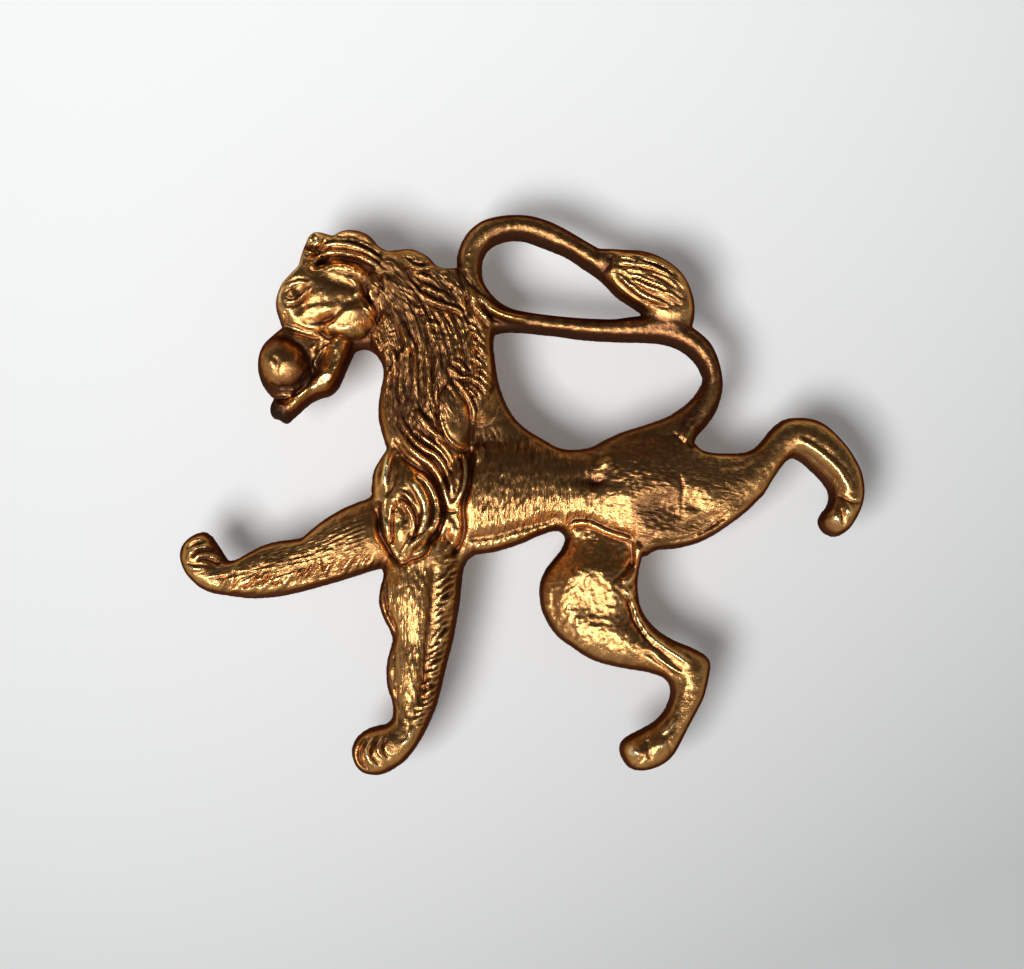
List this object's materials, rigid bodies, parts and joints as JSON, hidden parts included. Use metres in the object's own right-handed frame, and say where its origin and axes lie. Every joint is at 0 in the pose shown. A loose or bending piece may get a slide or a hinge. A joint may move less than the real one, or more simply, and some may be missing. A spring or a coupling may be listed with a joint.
{
  "type": "cap badge",
  "caption": "Struck gilt-metal badge of a walking lion with a looped tail, fixed through a cap front by wire lugs, a slotted backing plate and a split pin.",
  "frame": {"origin": "on the flat back of the badge, in the middle of the figure's height and length", "axes": "+Z out of the struck front, +X toward the hooked hind foot, +Y from the standing feet to the top of the tail"},
  "size_m": [0.0451, 0.0369, 0.0105],
  "materials": {
    "gilt": "polished gilt, darker in the recesses",
    "lug_wire": "drawn wire, dull",
    "braze": "cast, slightly rough",
    "plate_brass": "rolled sheet, fine scratches",
    "pin_brass": "drawn half round wire"
  },
  "bodies": {
    "badge": {"lion_badge": "gilt", "front_lug": "lug_wire", "rear_lug": "lug_wire", "front_braze_upper": "braze", "front_braze_lower": "braze", "rear_braze_upper": "braze", "rear_braze_lower": "braze"},
    "plate": {"backing_plate": "plate_brass"},
    "pin": {"split_pin": "pin_brass"}
  },
  "joints": [
    {"name": "plate_slide", "type": "slide", "parent": "badge", "child": "plate", "axis": [0, 0, 1], "range_m": [0, 0.0018]},
    {"name": "pin_slide", "type": "slide", "parent": "badge", "child": "pin", "axis": [1, 0, 0], "range_m": [0, 0.0205]}
  ]
}
